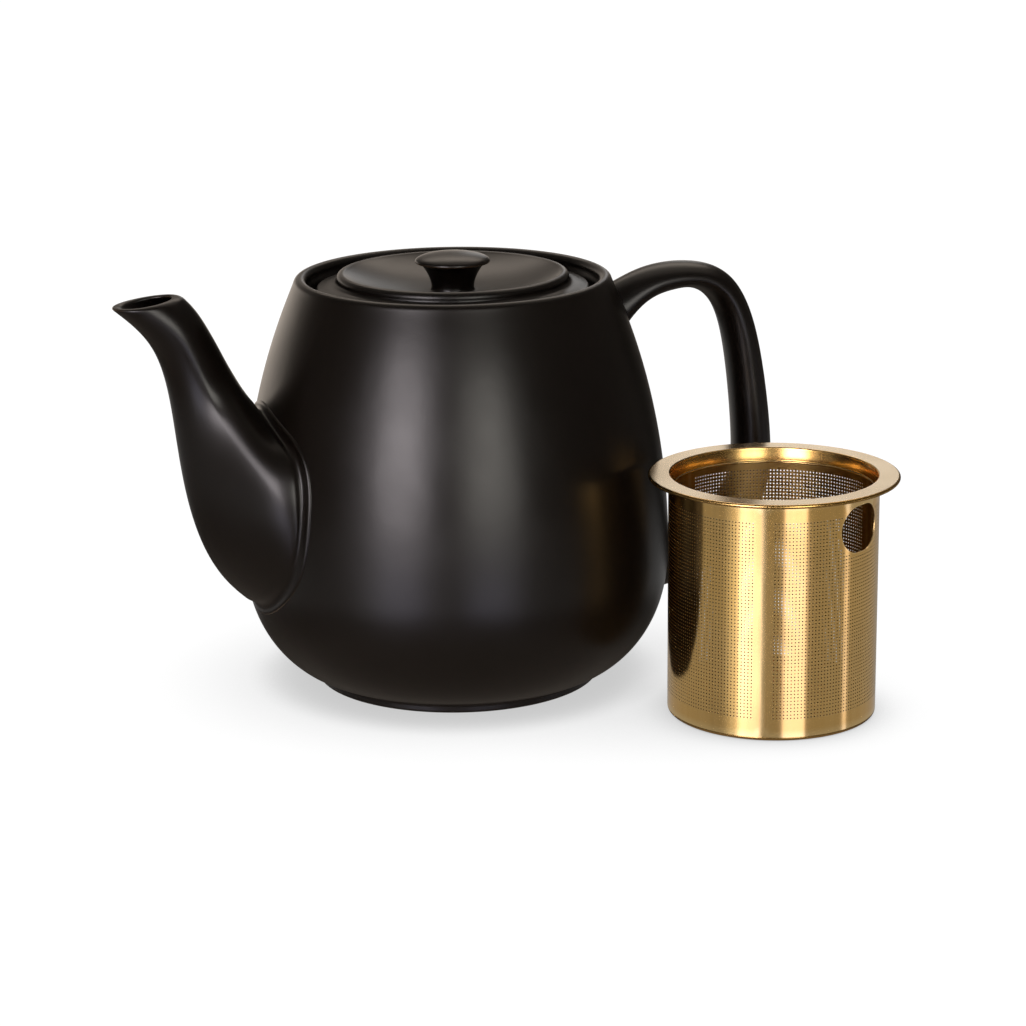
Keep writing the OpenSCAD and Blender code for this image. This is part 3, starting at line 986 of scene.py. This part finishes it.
def make_floor():
    """White floor with soft shadows and no mirror image."""
    bm = bmesh.new()
    bmesh.ops.create_circle(bm, cap_ends=True, segments=96, radius=FLOOR_R)
    mesh = bpy.data.meshes.new("floor")
    bm.to_mesh(mesh)
    bm.free()
    floor = bpy.data.objects.new("floor", mesh)
    bpy.context.scene.collection.objects.link(floor)
    m = MaterialNodes("pale_floor")
    # A wide soft shadow that falls towards the camera, and a dark line at the contact
    wide = m.add("ShaderNodeAmbientOcclusion", samples=6, Distance=0.06,
                 Normal=(0.27, 0.85, 0.45))
    close = m.add("ShaderNodeAmbientOcclusion", samples=6, Distance=0.014)
    glow = m.math("MULTIPLY", m.ramp(wide.outputs["AO"], 0.3, 0.9, 0.76, 0.95),
                  m.ramp(close.outputs["AO"], 0.3, 0.95, 0.75, 1.0))
    m.set(Base_Color=rgb(0.1, 0.1, 0.1), Roughness=1.0, Specular_IOR_Level=0.0,
          Emission_Color=rgb(1, 1, 1), Emission_Strength=glow)
    mesh.materials.append(m.material)
    floor.visible_glossy = False


# What shiny surfaces see of the studio: soft boxes as azimuth from +X, half width, softness of
# the sides, lowest and highest elevation and their softness (all in degrees), brightness, tint.
# The boxes from LOW to HIGH are mirrored in the table, where the basket's wall sees them.
WHITE, COOL, WARM = (1, 1, 1), (1.05, 0.97, 1.0), (1.04, 1.0, 0.93)
AMBER, GLARE = (1.15, 1.0, 0.86), (1.01, 0.98, 1.3)
LOW, HIGH = -21, -13
SOFT_BOXES = [
    (-137, 12.5, 1.5, -4, 27, 5, 7.0, COOL),        # key strip, left of the camera
    (-144, 20, 8, -4, 27, 5, 0.5, COOL),            # its soft spill
    (-88, 12.5, 1.5, -4, 24, 5, 4.0, WARM),         # second strip, right of the camera
    (-137, 12.5, 1.5, LOW, HIGH, 1.5, 1.9, GLARE),  # the three strips in the table
    (-88, 12.5, 1.5, LOW, HIGH, 1.5, 1.6, GLARE),
    (-150, 10, 9, LOW, HIGH, 1.5, 0.7, WHITE),      # and the soft spill
    (-24.7, 3, 1, LOW, HIGH, 1.5, 0.9, GLARE),
    (0, 180, 1, LOW, HIGH, 1.5, 0.3, WHITE),        # the room in the table
    (66.5, 4.5, 1.5, 7, 17, 3, 1.1, WHITE),         # white wall behind the basket
    (94, 32, 8, -12, 6, 5, 1.0, AMBER),             # foot of the wall behind the pot
    (98, 28, 8, 6, 28, 5, 0.15, AMBER),             # that wall higher up
    (72, 24, 6, 30, 46, 4, 1.6, AMBER),             # and its top, lit from above
    (60, 75, 25, 48, 85, 10, 0.35, AMBER),          # ceiling
]
ROOM_SIDES, ROOM_ABOVE, ROOM_BELOW = 0.05, 0.06, 0.14
AMBIENT = 1.05
SECOND_BOUNCE = 0.5          # the soft boxes as seen by way of a second shiny surface
FIRST_BOUNCE_DEPTH = 2.5     # the world's depth is 2 after one bounce, 3 after two


def scaled(nodes, vector, value):
    """A colour or vector times a number."""
    return nodes.add("ShaderNodeVectorMath", operation="SCALE", Vector=vector,
                     Scale=value).outputs[0]


def make_world():
    """Even light for matt surfaces, soft boxes for shiny ones, white for the camera."""
    world = bpy.data.worlds.new("studio")
    bpy.context.scene.world = world
    world.use_nodes = True
    world.cycles.sampling_method = "NONE"
    world.node_tree.nodes.clear()
    w = Nodes(world.node_tree)
    way = w.add("ShaderNodeTexCoord").outputs["Generated"]
    way = w.add("ShaderNodeSeparateXYZ", Vector=way).outputs
    azimuth = w.math("ARCTAN2", way["Y"], way["X"])
    elevation = w.math("MULTIPLY", w.math("ARCSINE", way["Z"]), 180 / math.pi)
    room = w.math("ADD", w.ramp(elevation, 25, 50, ROOM_SIDES, ROOM_ABOVE),
                  w.ramp(elevation, -45, -25, ROOM_BELOW - ROOM_SIDES, 0.0))
    total = scaled(w, AMBER, room)
    for centre, half, soft, low, high, fade, level, tint in SOFT_BOXES:
        off = w.math("SUBTRACT", azimuth, math.radians(centre))
        off = w.math("ABSOLUTE", w.math("WRAP", off, math.pi, -math.pi))
        across = w.ramp(off, math.radians(half - soft), math.radians(half + soft), level, 0.0)
        bottom = w.ramp(elevation, low - fade, low + fade)
        top = w.ramp(elevation, high - fade, high + fade, 1.0, 0.0)
        box = w.math("MULTIPLY", across, w.math("MULTIPLY", bottom, top))
        added = w.add("ShaderNodeVectorMath", operation="ADD")
        total = w.fill(added, (total, scaled(w, tint, box)))
    path = w.add("ShaderNodeLightPath").outputs
    again = w.math("GREATER_THAN", path["Ray Depth"], FIRST_BOUNCE_DEPTH)
    total = scaled(w, total, w.ramp(again, 0, 1, 1.0, SECOND_BOUNCE))
    light = w.mix(path["Is Glossy Ray"], rgb(AMBIENT, AMBIENT, AMBIENT), total)
    background = w.add("ShaderNodeBackground", Color=light).outputs[0]
    w.add("ShaderNodeOutputWorld", Surface=background)


CAMERA_AT = (-0.25921, -0.85527, 0.2930)      # metres
CAMERA_YAW, CAMERA_PITCH, CAMERA_ROLL = 17.948, 15.312, -0.530
CAMERA_LENS, CAMERA_SENSOR = 109.08, 36.0     # mm


def make_camera():
    """A long lens in front of the spout's side, looking slightly down on the lid."""
    yaw, pitch, roll = (math.radians(a) for a in (CAMERA_YAW, CAMERA_PITCH, CAMERA_ROLL))
    forward = Vector((math.sin(yaw) * math.cos(pitch), math.cos(yaw) * math.cos(pitch),
                      -math.sin(pitch)))
    right = Vector((math.cos(yaw), -math.sin(yaw), 0))
    up = right.cross(forward)
    right, up = (right * math.cos(roll) + up * math.sin(roll),
                 up * math.cos(roll) - right * math.sin(roll))
    data = bpy.data.cameras.new("camera")
    data.sensor_width = CAMERA_SENSOR
    data.lens = CAMERA_LENS
    data.clip_start, data.clip_end = 0.05, 20.0
    camera = bpy.data.objects.new("camera", data)
    turn = Matrix((right, up, -forward)).transposed().to_4x4()
    camera.matrix_world = Matrix.Translation(CAMERA_AT) @ turn
    bpy.context.scene.collection.objects.link(camera)
    bpy.context.scene.camera = camera


make_pot()
make_spout()
make_handle()
make_lid()
make_basket()
make_floor()
make_world()
make_camera()
bpy.context.scene.view_settings.view_transform = "Standard"
bpy.context.scene.cycles.caustics_reflective = False
